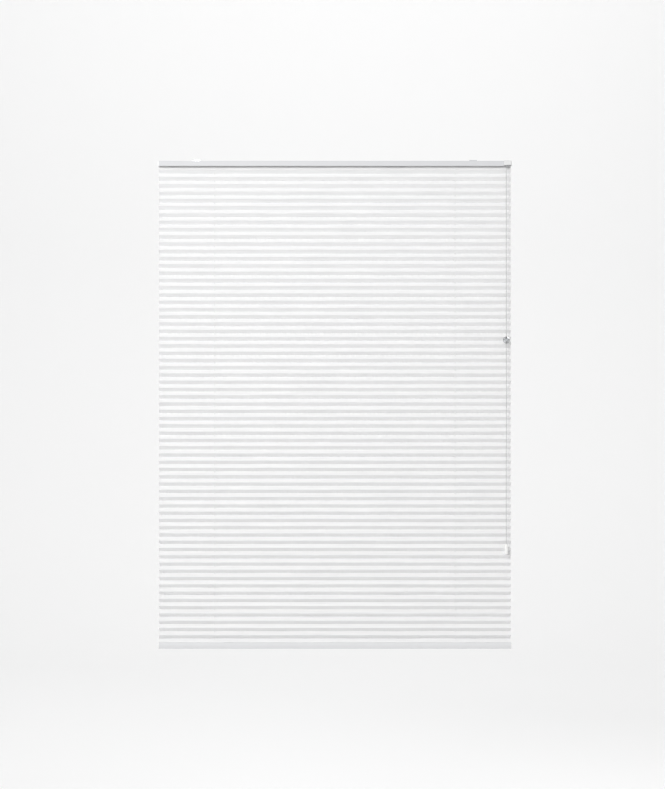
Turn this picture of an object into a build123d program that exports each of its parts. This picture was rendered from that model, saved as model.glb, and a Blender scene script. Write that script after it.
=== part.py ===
"""A corded pleated blind for a window reveal, hanging fully lowered.

Millimetres.  X runs along the blind and the pull cord is at the +X end, -Y faces the room and +Z is up.
The origin is midway between the two ceiling screws, on the top faces of the mounting brackets.
"""

from build123d import *

import math
import os

# ---------------------------------------------------------------- driving dimensions

# The whole blind
RAIL_LENGTH = 968.0  # both rails, without their end caps
PLEAT_COUNT = 65  # whole pleats of two facets, and the cloth has one facet more
PLEAT_PITCH = 20.0  # height of one pleat as the cloth hangs
FACET_LENGTH = 20.0  # cloth from one fold to the next
CLOTH_THICKNESS = 0.3
CLOTH_INSET = 0.0  # cloth edge to rail end
STACK_HEIGHT = 52.0  # the gathered pleats between the two rails when the blind is up

# Headrail, an extruded channel that is open at the top
HEADRAIL_WALL = 1.2
LIP_WIDTH = 3.0  # from the outer face inwards, wall included
LIP_THICKNESS = 0.9
WEB_THICKNESS = 0.9
HOOK_WIDTH = 2.6  # the hooks that hold the cloth's strip, wall included
HOOK_THICKNESS = 0.7
HEADRAIL_EDGE_ROUND = 0.6
CAP_FLANGE = 2.0
CAP_SPIGOT = 6.0

# Strips that carry the cloth in the two rails
STRIP_SLOT_HEIGHT = 1.1
STRIP_SLOT_STEP = 1.4  # the slot is this much wider than its mouth, each side
STRIP_FLANGE_THICKNESS = 0.8

# Bottom rail, an extruded hollow section with barrelled faces
BOTTOM_RAIL_HEIGHT = 17.4
BOTTOM_RAIL_WALL = 1.0
BOTTOM_RAIL_BARREL = 0.4  # how far the face bulges past its top edge
BOTTOM_RAIL_BULGE_DROP = 5.8  # top edge to where the bulge is widest
BOTTOM_RAIL_FOOT_INSET = 3.8
BOTTOM_RAIL_FOOT_ROUND = 1.5
BOTTOM_RAIL_EDGE_ROUND = 0.4
BOTTOM_WEB_THICKNESS = 1.0
BOTTOM_WAIST_DROP = 8.0  # top edge to where the hollow starts to narrow
BOTTOM_FOOT_WALL = 1.4
BOTTOM_FLOOR_THICKNESS = 1.2

# Mounting brackets and their turning latches
BRACKET_INSET = 104.0  # screw to rail end
BRACKET_WIDTH = 20.0
BRACKET_THICKNESS = 1.2
BRACKET_HOOK_THICKNESS = 1.0
SCREW_HOLE_R = 2.25
LATCH_PIVOT_Y = 6.4
LATCH_ARM_THICKNESS = 0.8
LATCH_HUB_R = 2.4
LATCH_NOSE_REACH = 4.0
LATCH_NOSE_HALF_WIDTH = 2.0
LATCH_HANDLE_REACH = 9.6
LATCH_HANDLE_HALF_WIDTH = 3.0
RIVET_R = 1.2
RIVET_HEAD_R = 2.0
RIVET_HEAD_THICKNESS = 0.5
RIVET_TAIL_R = 2.2
RIVET_TAIL_THICKNESS = 0.6

# Lift cords and their guides in the headrail
LIFT_CORD_R = 0.5
LIFT_CORD_INSET = 153.0  # cord to rail end
LIFT_CORD_Y = 4.0
CLOTH_HOLE_R = 1.5
GUIDE_LENGTH = 16.0
GUIDE_BASE_THICKNESS = 1.0
GUIDE_CHEEK_THICKNESS = 1.0
GUIDE_CHEEK_LENGTH = 9.0
GUIDE_CHEEK_OVER_PIN = 1.6
GUIDE_SPIGOT_R = 2.4
GUIDE_BORE_R = 1.3
PULLEY_GROOVE_R = 2.2
PULLEY_FLANGE_R = 3.4
PULLEY_WIDTH = 3.0
PULLEY_GROOVE_HALF_WIDTH = 0.7
PULLEY_PIN_R = 0.8

# Cord lock at the +X end, with its hood in front of the headrail
HOOD_WIDTH = 20.0
HOOD_WALL = 1.2
HOOD_UP_FROM_BOTTOM = 0.9  # the hood's mouth over the headrail's underside
HOOD_TOP_ROUND = 2.5
HOOD_SIDE_ROUND = 1.5
LOCK_FLOOR_THICKNESS = 1.0
LOCK_FLOOR_REACH = 14.0  # floor past the hood, towards -X
LOCK_CHEEK_REACH = 4.0  # the hood's side wall inside the headrail
LOCK_POST_R = 3.0
LOCK_POST_INSET = 1.8  # post centre from the hood's left face
LOCK_POST_Y = -5.0
ROLLER_R = 3.5
ROLLER_PIN_R = 1.0
PAWL_PIN_R = 0.8
PAWL_HUB_R = 1.7
PAWL_AHEAD_OF_CORD = 3.3
PAWL_OVER_ROLLER = 2.95
PAWL_ARM = 5.0
PAWL_ARM_HALF_THICKNESS = 0.9
PAWL_TOOTH = 0.35
PAWL_TEETH = 3

# Anchors of the lift cords in the bottom rail
EYELET_R = 1.95
EYELET_BORE_R = 1.0
EYELET_FLANGE_R = 3.0
EYELET_FLANGE_THICKNESS = 0.8
LIFT_KNOT_R = 2.0

# Pull cord: two lift cords down to the connector, one thicker cord from there to the tassel
CONNECTOR_Z = -495.0
CONNECTOR_R = 9.5
CONNECTOR_WALL = 1.3
CONNECTOR_TOP_HOLE_R = 1.9
CONNECTOR_RIM_R = 6.6  # inside of the lower half's rim
CONNECTOR_RIM_THICKNESS = 1.1
CONNECTOR_RIM_HEIGHT = 2.0
CONNECTOR_RIM_DEPTH = 1.5
CONNECTOR_KNOT_R = 2.6
CONNECTOR_KNOT_FLAT = 2.1  # knot centre to its flat
TAIL_CORD_R = 0.9
TAIL_KNOT_R = 2.4
TAIL_KNOT_FLAT = 2.0
TASSEL_TOP_Z = -1054.5
TASSEL_LENGTH = 26.2
TASSEL_NECK_R = 2.9
TASSEL_R = 5.4
TASSEL_BELLY_DROP = 18.9  # top to where the tassel is widest
TASSEL_FOOT_R = 4.6
TASSEL_CAVITY_R = 3.6
TASSEL_CAVITY_DEPTH = 9.2

# Clearances
SPIGOT_PLAY = 0.3  # plugs, floors and bases beside the walls they fit between
STRIP_PLAY = 0.3  # strip neck in its mouth, each side
STRIP_FLANGE_PLAY = 0.4  # strip flange in its slot, each side
STRIP_END_PLAY = 0.5  # strips and the lock's floor, short of what ends them
CLOTH_MOUTH_PLAY = 0.44  # folds in the mouth, each side
LATCH_PLAY = 0.1  # latch under the bracket's plate
LIP_PLAY = 0.2  # bracket hook and latch arms beside the headrail's lips
LANE_PLAY = 0.65  # lift cords under the brackets' rivets
PIN_FIT = 0.02  # pins held in their cheeks
RUNNING_FIT = 0.05  # what turns on a pin
CORD_PLAY = 0.2  # cords beside what they run over
PULLEY_CORD_PLAY = 0.15
CORD_GAP = 0.3  # between two cords side by side
HOLE_PLAY = 0.2  # round the tail cord
BASE_HOLE_PLAY = 0.1
SIDE_PLAY = 0.3  # beside a roller, a pulley or a pawl
CONNECTOR_PLAY = 0.5  # connector in front of the bottom rail that passes it
RIM_PLAY = 0.3

# ---------------------------------------------------------------- levels and places that follow

RAIL_END = RAIL_LENGTH / 2
FACET_DROP = PLEAT_PITCH / 2
FOLD_Y = math.sqrt(FACET_LENGTH**2 - FACET_DROP**2) / 2
FACET_COUNT = 2 * PLEAT_COUNT + 1
MOUTH_Y = FOLD_Y + CLOTH_THICKNESS + CLOTH_MOUTH_PLAY
SLOT_Y = MOUTH_Y + STRIP_SLOT_STEP

HEADRAIL_TOP = -(BRACKET_THICKNESS + LATCH_PLAY + LATCH_ARM_THICKNESS + LIP_PLAY)
HEADRAIL_Y = MOUTH_Y + HOOK_WIDTH
CHANNEL_Y = HEADRAIL_Y - HEADRAIL_WALL
LIP_Y = HEADRAIL_Y - LIP_WIDTH
LIP_UNDER = HEADRAIL_TOP - LIP_THICKNESS
LATCH_TOP = -(BRACKET_THICKNESS + LATCH_PLAY)
LATCH_BOTTOM = LIP_UNDER - LIP_PLAY - LATCH_ARM_THICKNESS
RIVET_BOTTOM = LATCH_BOTTOM - RIVET_TAIL_THICKNESS

# The headrail is as deep as the brackets, the cords and the pulleys under them need
PULLEY_WRAP_R = PULLEY_GROOVE_R + PULLEY_CORD_PLAY + LIFT_CORD_R
LANE_Z = RIVET_BOTTOM - LANE_PLAY - LIFT_CORD_R
PULLEY_Z = LANE_Z - PULLEY_WRAP_R
WEB_TOP = PULLEY_Z - PULLEY_FLANGE_R - CORD_PLAY - GUIDE_BASE_THICKNESS
WEB_UNDER = WEB_TOP - WEB_THICKNESS
HOOK_TOP = WEB_UNDER - STRIP_SLOT_HEIGHT
HEADRAIL_BOTTOM = HOOK_TOP - HOOK_THICKNESS

CLOTH_TOP = HEADRAIL_BOTTOM + CLOTH_THICKNESS / 2
CLOTH_BOTTOM = CLOTH_TOP - FACET_COUNT * FACET_DROP
BOTTOM_RAIL_TOP = CLOTH_BOTTOM + CLOTH_THICKNESS / 2
BOTTOM_HOOK_UNDER = BOTTOM_RAIL_TOP - HOOK_THICKNESS
BOTTOM_WEB_TOP = BOTTOM_HOOK_UNDER - STRIP_SLOT_HEIGHT
BOTTOM_WEB_UNDER = BOTTOM_WEB_TOP - BOTTOM_WEB_THICKNESS
BOTTOM_RAIL_FOOT = BOTTOM_RAIL_TOP - BOTTOM_RAIL_HEIGHT
BOTTOM_RAIL_EDGE_Y = SLOT_Y + BOTTOM_RAIL_WALL
BOTTOM_RAIL_Y = BOTTOM_RAIL_EDGE_Y + BOTTOM_RAIL_BARREL
LIFT_TRAVEL = HEADRAIL_BOTTOM - BOTTOM_RAIL_TOP - STACK_HEIGHT

LIFT_CORD_X = RAIL_END - LIFT_CORD_INSET
LIFT_SPLIT_Z = WEB_TOP + GUIDE_BASE_THICKNESS + 2 * CORD_PLAY
BRACKET_X = RAIL_END - BRACKET_INSET

PULL_Y = -(BOTTOM_RAIL_Y + CONNECTOR_PLAY + CONNECTOR_R)
ROLLER_WRAP_R = ROLLER_R + CORD_PLAY + LIFT_CORD_R
ROLLER_Y = PULL_Y + ROLLER_WRAP_R
ROLLER_Z = LANE_Z - ROLLER_WRAP_R
PAWL_Y = PULL_Y - PAWL_AHEAD_OF_CORD
PAWL_Z = ROLLER_Z + PAWL_OVER_ROLLER
HOOD_FRONT = PAWL_Y - PAWL_HUB_R - SIDE_PLAY - HOOD_WALL
HOOD_LEFT = RAIL_END - HOOD_WIDTH
HOOD_BOTTOM = HEADRAIL_BOTTOM + HOOD_UP_FROM_BOTTOM
LOCK_POST_X = HOOD_LEFT + LOCK_POST_INSET
INNER_WRAP_R = LOCK_POST_R + CORD_PLAY + LIFT_CORD_R
OUTER_WRAP_R = INNER_WRAP_R + 2 * LIFT_CORD_R + CORD_GAP
PULL_X = LOCK_POST_X + (INNER_WRAP_R + OUTER_WRAP_R) / 2
LOCK_INNER_END = RAIL_END - CAP_SPIGOT - STRIP_END_PLAY

GUIDE_CHEEK_Y = PULLEY_WIDTH / 2 + SIDE_PLAY
GUIDE_OUTER_HALF = GUIDE_CHEEK_Y + GUIDE_CHEEK_THICKNESS
GUIDE_OUTER_Y = (LIFT_CORD_Y - GUIDE_OUTER_HALF, LIFT_CORD_Y + GUIDE_OUTER_HALF)
CONNECTOR_KNOT_Z = CONNECTOR_Z + CONNECTOR_R - CONNECTOR_WALL - 2 * SIDE_PLAY
TAIL_TOP = CONNECTOR_Z - CONNECTOR_R + CONNECTOR_WALL + 3 * SIDE_PLAY
TASSEL_KNOT_TOP = TASSEL_TOP_Z - TASSEL_LENGTH + TASSEL_CAVITY_DEPTH


# ---------------------------------------------------------------- shapes that repeat


def block(x, y, z):
    """A box between two values of x, two of y and two of z."""
    size = [abs(b - a) for a, b in (x, y, z)]
    middle = [(a + b) / 2 for a, b in (x, y, z)]
    return Pos(*middle) * Box(*size)


def rod_x(r, x, y, z):
    """A cylinder along X between two values of x."""
    return Pos((x[0] + x[1]) / 2, y, z) * Rot(0, 90, 0) * Cylinder(r, x[1] - x[0])


def rod_y(r, x, y, z):
    """A cylinder along Y between two values of y."""
    return Pos(x, (y[0] + y[1]) / 2, z) * Rot(90, 0, 0) * Cylinder(r, y[1] - y[0])


def rod_z(r, x, y, z):
    """An upright cylinder between two values of z."""
    return Pos(x, y, (z[0] + z[1]) / 2) * Cylinder(r, z[1] - z[0])


def along_x(section, x):
    """A section given in Y and Z, extruded between two values of x."""
    return Pos(x[0], 0, 0) * extrude(Plane.YZ * section, amount=x[1] - x[0])


def polygon(points):
    return make_face(Polyline(*points, close=True))


def offset_points(points, distance):
    """The points of an open line, moved sideways by distance, with mitred corners."""
    moved = []
    for i, point in enumerate(points):
        before = (Vector(*points[i]) - Vector(*points[i - 1])).normalized() if i else None
        after = None
        if i + 1 < len(points):
            after = (Vector(*points[i + 1]) - Vector(*point)).normalized()
        first = before or after
        second = after or before
        normals = Vector(-first.Y, first.X), Vector(-second.Y, second.X)
        mitre = (normals[0] + normals[1]) * (distance / (1 + normals[0].dot(normals[1])))
        moved.append((point[0] + mitre.X, point[1] + mitre.Y))
    return moved


def cord_along(points, radii, r):
    """A cord of radius r along straight runs joined by tangent arcs."""
    path = FilletPolyline(*points, radius=radii)
    cord = sweep(Plane(path @ 0, z_dir=path % 0) * Circle(r), path=path)
    share = cord.volume / (math.pi * r * r * path.length)
    print("  bend radii", [round(v, 2) for v in radii], "volume / (section x length)", round(share, 5))
    return cord


def knot(r, x, y, flat_z, flat_from_centre, flat_on_top=True):
    """A tight knot, flat where its cord leaves it."""
    side = 1 if flat_on_top else -1
    centre_z = flat_z - side * flat_from_centre
    beyond = block((x - r, x + r), (y - r, y + r), (flat_z, flat_z + side * r))
    return Pos(x, y, centre_z) * Sphere(r) - beyond


def write(name, *shapes):
    """One STEP file for a node, with each of its solids apart."""
    solids = [s for shape in shapes for s in shape.solids()]
    whole = solids[0] if len(solids) == 1 else Compound(children=solids)
    export_step(whole, os.path.join("parts", name + ".step"))
    print(name, len(solids), round(sum(s.volume for s in solids), 3))


# ---------------------------------------------------------------- headrail


def headrail_outside(x):
    """The outside of the headrail's section between two values of x."""
    solid = block(x, (-HEADRAIL_Y, HEADRAIL_Y), (HEADRAIL_BOTTOM, HEADRAIL_TOP))
    return fillet(solid.edges().filter_by(Axis.X), HEADRAIL_EDGE_ROUND)


def headrail():
    """The channel: lips for the brackets at the top, a slot for the cloth's strip underneath."""
    rail = (-RAIL_END, RAIL_END)
    solid = headrail_outside(rail)
    solid -= block(rail, (-CHANNEL_Y, CHANNEL_Y), (WEB_TOP, LIP_UNDER))
    solid -= block(rail, (-LIP_Y, LIP_Y), (LIP_UNDER, HEADRAIL_TOP))
    solid -= block(rail, (-SLOT_Y, SLOT_Y), (HOOK_TOP, WEB_UNDER))
    solid -= block(rail, (-MOUTH_Y, MOUTH_Y), (HEADRAIL_BOTTOM, HOOK_TOP))
    # The notch in the front wall that the cord lock's hood fills
    solid -= block((HOOD_LEFT - BASE_HOLE_PLAY, RAIL_END), (-HEADRAIL_Y, -LIP_Y), (WEB_TOP, HEADRAIL_TOP))
    for x in (-LIFT_CORD_X, LIFT_CORD_X):
        solid -= rod_z(GUIDE_SPIGOT_R + BASE_HOLE_PLAY, x, LIFT_CORD_Y, (WEB_UNDER, WEB_TOP))
    return solid


def headrail_end_cap(side):
    """A moulded plug: side is -1 for the left end and 1 for the right."""
    flange = sorted((side * RAIL_END, side * (RAIL_END + CAP_FLANGE)))
    plug = sorted((side * (RAIL_END - CAP_SPIGOT), side * RAIL_END))
    width = CHANNEL_Y - SPIGOT_PLAY
    cap = headrail_outside(flange)
    return cap + block(plug, (-width, width), (WEB_TOP + CORD_PLAY, LIP_UNDER - SPIGOT_PLAY))


def fabric_strip(flange_from, side, cloth_side):
    """A flat strip with a raised middle that the end facet of the cloth is bonded to."""
    flange_to = flange_from + side * STRIP_FLANGE_THICKNESS
    rail = (-RAIL_END + STRIP_END_PLAY, RAIL_END - STRIP_END_PLAY)
    flange = SLOT_Y - STRIP_FLANGE_PLAY
    neck = MOUTH_Y - STRIP_PLAY
    strip = block(rail, (-flange, flange), (flange_from, flange_to))
    strip += block(rail, (-neck, neck), (flange_from, cloth_side))
    middle = sorted((flange_to, cloth_side))
    for x in (-LIFT_CORD_X, LIFT_CORD_X):
        strip -= rod_z(CLOTH_HOLE_R, x, LIFT_CORD_Y, middle)
    return strip


# ---------------------------------------------------------------- cloth


def pleated_fabric():
    """One sheet: a flat facet on each strip, and the pleats between them, punched for the cords."""
    folds = [(-FOLD_Y, CLOTH_TOP)]
    for i in range(FACET_COUNT + 1):
        side = 1 if i % 2 == 0 else -1
        folds.append((side * FOLD_Y, CLOTH_TOP - i * FACET_DROP))
    folds.append((FOLD_Y, CLOTH_BOTTOM))
    upper = offset_points(folds, CLOTH_THICKNESS / 2)
    lower = offset_points(folds, -CLOTH_THICKNESS / 2)
    half_width = RAIL_END - CLOTH_INSET
    sheet = along_x(polygon(upper + lower[::-1]), (-half_width, half_width))
    for x in (-LIFT_CORD_X, LIFT_CORD_X):
        sheet -= rod_z(CLOTH_HOLE_R, x, LIFT_CORD_Y, (BOTTOM_WEB_TOP, WEB_UNDER))
    return sheet


# ---------------------------------------------------------------- bottom rail


def bottom_rail_outline():
    """The outside of the section, with barrelled front and back faces and a narrower foot."""
    foot_y = BOTTOM_RAIL_Y - BOTTOM_RAIL_FOOT_INSET
    bulge_z = BOTTOM_RAIL_TOP - BOTTOM_RAIL_BULGE_DROP
    edges = [
        Line((-BOTTOM_RAIL_EDGE_Y, BOTTOM_RAIL_TOP), (BOTTOM_RAIL_EDGE_Y, BOTTOM_RAIL_TOP)),
        ThreePointArc(
            (BOTTOM_RAIL_EDGE_Y, BOTTOM_RAIL_TOP),
            (BOTTOM_RAIL_Y, bulge_z),
            (foot_y, BOTTOM_RAIL_FOOT),
        ),
        Line((foot_y, BOTTOM_RAIL_FOOT), (-foot_y, BOTTOM_RAIL_FOOT)),
        ThreePointArc(
            (-foot_y, BOTTOM_RAIL_FOOT),
            (-BOTTOM_RAIL_Y, bulge_z),
            (-BOTTOM_RAIL_EDGE_Y, BOTTOM_RAIL_TOP),
        ),
    ]
    outline = make_face(edges)
    outline = fillet(outline.vertices().group_by(Axis.Y)[0], BOTTOM_RAIL_FOOT_ROUND)
    return fillet(outline.vertices().group_by(Axis.Y)[-1], BOTTOM_RAIL_EDGE_ROUND)


def chamber_levels():
    """Half width and height of the hollow under the web, from top to bottom."""
    wide = SLOT_Y - STRIP_FLANGE_PLAY
    foot = BOTTOM_RAIL_Y - BOTTOM_RAIL_FOOT_INSET - BOTTOM_FOOT_WALL
    waist_z = BOTTOM_RAIL_TOP - BOTTOM_WAIST_DROP
    floor_z = BOTTOM_RAIL_FOOT + BOTTOM_FLOOR_THICKNESS
    return (wide, BOTTOM_WEB_UNDER), (wide, waist_z), (foot, floor_z)


def bottom_rail():
    rail = (-RAIL_END, RAIL_END)
    solid = along_x(bottom_rail_outline(), rail)
    solid -= block(rail, (-MOUTH_Y, MOUTH_Y), (BOTTOM_HOOK_UNDER, BOTTOM_RAIL_TOP))
    solid -= block(rail, (-SLOT_Y, SLOT_Y), (BOTTOM_WEB_TOP, BOTTOM_HOOK_UNDER))
    right = list(chamber_levels())
    left = [(-y, z) for y, z in reversed(right)]
    solid -= along_x(polygon(right + left), rail)
    for x in (-LIFT_CORD_X, LIFT_CORD_X):
        solid -= rod_z(EYELET_R + RUNNING_FIT, x, LIFT_CORD_Y, (BOTTOM_WEB_UNDER, BOTTOM_WEB_TOP))
    return solid


def bottom_rail_end_cap(side):
    flange = sorted((side * RAIL_END, side * (RAIL_END + CAP_FLANGE)))
    plug = sorted((side * (RAIL_END - CAP_SPIGOT), side * RAIL_END))
    (width, top), (_, waist), _ = chamber_levels()
    cap = along_x(bottom_rail_outline(), flange)
    inner = width - SPIGOT_PLAY
    return cap + block(plug, (-inner, inner), (waist, top - SPIGOT_PLAY))


def eyelet(x):
    """The plastic bush in the bottom rail's web that a lift cord's knot bears on."""
    flange_z = BOTTOM_WEB_UNDER - EYELET_FLANGE_THICKNESS
    bush = rod_z(EYELET_R, x, LIFT_CORD_Y, (BOTTOM_WEB_UNDER, BOTTOM_WEB_TOP))
    bush += rod_z(EYELET_FLANGE_R, x, LIFT_CORD_Y, (flange_z, BOTTOM_WEB_UNDER))
    return bush - rod_z(EYELET_BORE_R, x, LIFT_CORD_Y, (flange_z, BOTTOM_WEB_TOP))


# ---------------------------------------------------------------- brackets


def mounting_bracket(x):
    """A steel plate under the soffit, hooked under the headrail's front lip."""
    plate_y = LIP_Y - LIP_PLAY
    across = (x - BRACKET_WIDTH / 2, x + BRACKET_WIDTH / 2)
    leg = (-plate_y, -plate_y + BRACKET_HOOK_THICKNESS)
    foot_top = LIP_UNDER - LIP_PLAY
    foot_bottom = foot_top - BRACKET_HOOK_THICKNESS
    plate = block(across, (-plate_y, plate_y), (-BRACKET_THICKNESS, 0))
    plate += block(across, leg, (foot_bottom, -BRACKET_THICKNESS))
    plate += block(across, (-CHANNEL_Y + SPIGOT_PLAY, leg[1]), (foot_bottom, foot_top))
    plate -= rod_z(SCREW_HOLE_R, x, 0, (-BRACKET_THICKNESS, 0))
    plate -= rod_z(RIVET_R + RUNNING_FIT, x, LATCH_PIVOT_Y, (-BRACKET_THICKNESS, 0))
    head = RIVET_HEAD_R + BASE_HOLE_PLAY
    return plate - rod_z(head, x, LATCH_PIVOT_Y, (-RIVET_HEAD_THICKNESS, 0))


def bracket_latch(x):
    """A lever that turns under the bracket: its nose locks below the rear lip."""
    tip_y = LATCH_PIVOT_Y + LATCH_HANDLE_REACH - LATCH_HANDLE_HALF_WIDTH
    handle = (LATCH_TOP - LATCH_ARM_THICKNESS, LATCH_TOP)
    nose = (LATCH_BOTTOM, LATCH_BOTTOM + LATCH_ARM_THICKNESS)
    half = LATCH_HANDLE_HALF_WIDTH
    latch = rod_z(LATCH_HUB_R, x, LATCH_PIVOT_Y, (LATCH_BOTTOM, LATCH_TOP))
    latch += block((x - half, x + half), (LATCH_PIVOT_Y, tip_y), handle)
    latch += rod_z(half, x, tip_y, handle)
    half = LATCH_NOSE_HALF_WIDTH
    reach = block((x - half, x + half), (LATCH_PIVOT_Y, LATCH_PIVOT_Y + LATCH_NOSE_REACH), nose)
    latch += reach & rod_z(LATCH_NOSE_REACH, x, LATCH_PIVOT_Y, nose)
    return latch - rod_z(RIVET_R + RUNNING_FIT, x, LATCH_PIVOT_Y, (LATCH_BOTTOM, LATCH_TOP))


def bracket_rivet(x):
    rivet = rod_z(RIVET_HEAD_R, x, LATCH_PIVOT_Y, (-RIVET_HEAD_THICKNESS, 0))
    rivet += rod_z(RIVET_R, x, LATCH_PIVOT_Y, (LATCH_BOTTOM, -RIVET_HEAD_THICKNESS))
    return rivet + rod_z(RIVET_TAIL_R, x, LATCH_PIVOT_Y, (RIVET_BOTTOM, LATCH_BOTTOM))


# ---------------------------------------------------------------- cord guides


def cord_guide(x):
    """A cradle on the headrail's web, with a spigot through it; x is the lift cord's."""
    centre = x + PULLEY_WRAP_R
    width = CHANNEL_Y - SPIGOT_PLAY
    base_top = WEB_TOP + GUIDE_BASE_THICKNESS
    length = (centre - GUIDE_LENGTH / 2, centre + GUIDE_LENGTH / 2)
    cheek = (centre - GUIDE_CHEEK_LENGTH / 2, centre + GUIDE_CHEEK_LENGTH / 2)
    guide = block(length, (-width, width), (WEB_TOP, base_top))
    cheek_z = (base_top, PULLEY_Z + GUIDE_CHEEK_OVER_PIN)
    guide += block(cheek, (GUIDE_OUTER_Y[0], LIFT_CORD_Y - GUIDE_CHEEK_Y), cheek_z)
    guide += block(cheek, (LIFT_CORD_Y + GUIDE_CHEEK_Y, GUIDE_OUTER_Y[1]), cheek_z)
    guide += rod_z(GUIDE_SPIGOT_R, x, LIFT_CORD_Y, (WEB_UNDER, WEB_TOP))
    guide -= rod_z(GUIDE_BORE_R, x, LIFT_CORD_Y, (WEB_UNDER, base_top))
    return guide - rod_y(PULLEY_PIN_R + PIN_FIT, centre, GUIDE_OUTER_Y, PULLEY_Z)


def guide_pulley(x):
    """A grooved wheel that turns the lift cord from upright to level."""
    half = PULLEY_WIDTH / 2
    groove = PULLEY_GROOVE_HALF_WIDTH
    bore = PULLEY_PIN_R + RUNNING_FIT
    outline = [
        (bore, -half),
        (PULLEY_FLANGE_R, -half),
        (PULLEY_FLANGE_R, -groove - PULLEY_CORD_PLAY),
        (PULLEY_GROOVE_R, -groove),
        (PULLEY_GROOVE_R, groove),
        (PULLEY_FLANGE_R, groove + PULLEY_CORD_PLAY),
        (PULLEY_FLANGE_R, half),
        (bore, half),
    ]
    wheel = revolve(polygon(outline), axis=Axis.Y)
    return Pos(x + PULLEY_WRAP_R, LIFT_CORD_Y, PULLEY_Z) * wheel


def guide_pin(x):
    return rod_y(PULLEY_PIN_R, x + PULLEY_WRAP_R, GUIDE_OUTER_Y, PULLEY_Z)


# ---------------------------------------------------------------- cord lock


def cord_lock_housing():
    """One moulding: the hood in front of the headrail, and the floor and post inside it."""
    wall = HOOD_WALL
    hood_x = (HOOD_LEFT, RAIL_END)
    hood = block(hood_x, (HOOD_FRONT, -HEADRAIL_Y), (HOOD_BOTTOM, HEADRAIL_TOP))
    front = hood.edges().filter_by(Axis.X).group_by(Axis.Z)[-1].sort_by(Axis.Y)[0]
    hood = fillet(front, HOOD_TOP_ROUND)
    upright = hood.edges().filter_by(Axis.Z).group_by(Axis.Y)[0]
    hood = fillet(upright, HOOD_SIDE_ROUND)
    inside_x = (HOOD_LEFT + wall, RAIL_END - wall)
    hood -= block(inside_x, (HOOD_FRONT + wall, -HEADRAIL_Y), (HOOD_BOTTOM, HEADRAIL_TOP - wall))

    width = CHANNEL_Y - SPIGOT_PLAY
    inner_x = (HOOD_LEFT - LOCK_FLOOR_REACH, LOCK_INNER_END)
    floor_top = WEB_TOP + LOCK_FLOOR_THICKNESS
    roof_under = HEADRAIL_TOP - wall
    body = block(inner_x, (-width, width), (WEB_TOP, floor_top))
    # The roof and the left wall carry on through the notch in the headrail
    body += block((HOOD_LEFT, LOCK_INNER_END), (-HEADRAIL_Y, -LIP_Y), (roof_under, HEADRAIL_TOP))
    cheek_y = (-HEADRAIL_Y, -HEADRAIL_Y + LOCK_CHEEK_REACH)
    body += block((HOOD_LEFT, HOOD_LEFT + wall), cheek_y, (WEB_TOP, roof_under))
    body += rod_z(LOCK_POST_R, LOCK_POST_X, LOCK_POST_Y, (floor_top, roof_under - wall))
    # The wall that the cords enter by, open at the top above them
    gate = block((inner_x[0], inner_x[0] + wall), (-width, width), (floor_top, roof_under - SPIGOT_PLAY))
    slot_y = (LOCK_POST_Y + LOCK_POST_R - HOOD_WALL, LOCK_POST_Y + OUTER_WRAP_R + LOCK_POST_R)
    gate -= block((inner_x[0], inner_x[0] + wall), slot_y, (LANE_Z - LOCK_POST_R / 2, HEADRAIL_TOP))
    body += gate

    housing = hood + body
    housing -= rod_x(ROLLER_PIN_R + PIN_FIT, hood_x, ROLLER_Y, ROLLER_Z)
    return housing - rod_x(PAWL_PIN_R + PIN_FIT, hood_x, PAWL_Y, PAWL_Z)


def cord_lock_roller():
    length = (HOOD_LEFT + HOOD_WALL + SIDE_PLAY, RAIL_END - HOOD_WALL - SIDE_PLAY)
    roller = rod_x(ROLLER_R, length, ROLLER_Y, ROLLER_Z)
    return roller - rod_x(ROLLER_PIN_R + RUNNING_FIT, length, ROLLER_Y, ROLLER_Z)


def cord_lock_pawl():
    """A toothed flap that hangs in front of the cords and swings back to pinch them."""
    length = (HOOD_LEFT + HOOD_WALL + 2 * SIDE_PLAY, RAIL_END - HOOD_WALL - 2 * SIDE_PLAY)
    front = PAWL_Y - PAWL_ARM_HALF_THICKNESS
    back = PAWL_Y + PAWL_ARM_HALF_THICKNESS
    tip_z = PAWL_Z - PAWL_ARM
    tooth_height = (PAWL_ARM - PAWL_HUB_R) / PAWL_TEETH
    outline = [(front, PAWL_Z), (front, tip_z)]
    for i in range(PAWL_TEETH):
        outline.append((back, tip_z + i * tooth_height))
        outline.append((back - PAWL_TOOTH, tip_z + (i + 1) * tooth_height))
    outline.append((back - PAWL_TOOTH, PAWL_Z))
    pawl = along_x(polygon(outline), length)
    pawl += rod_x(PAWL_HUB_R, length, PAWL_Y, PAWL_Z)
    return pawl - rod_x(PAWL_PIN_R + RUNNING_FIT, length, PAWL_Y, PAWL_Z)


def cord_lock_pins():
    hood_x = (HOOD_LEFT, RAIL_END)
    roller_pin = rod_x(ROLLER_PIN_R, hood_x, ROLLER_Y, ROLLER_Z)
    return roller_pin, rod_x(PAWL_PIN_R, hood_x, PAWL_Y, PAWL_Z)


# ---------------------------------------------------------------- cords


def lift_cord_drop(x):
    """The stretch through the cloth, from the guide down to the knot in the bottom rail."""
    return rod_z(LIFT_CORD_R, x, LIFT_CORD_Y, (BOTTOM_WEB_UNDER - EYELET_FLANGE_THICKNESS, LIFT_SPLIT_Z))


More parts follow.
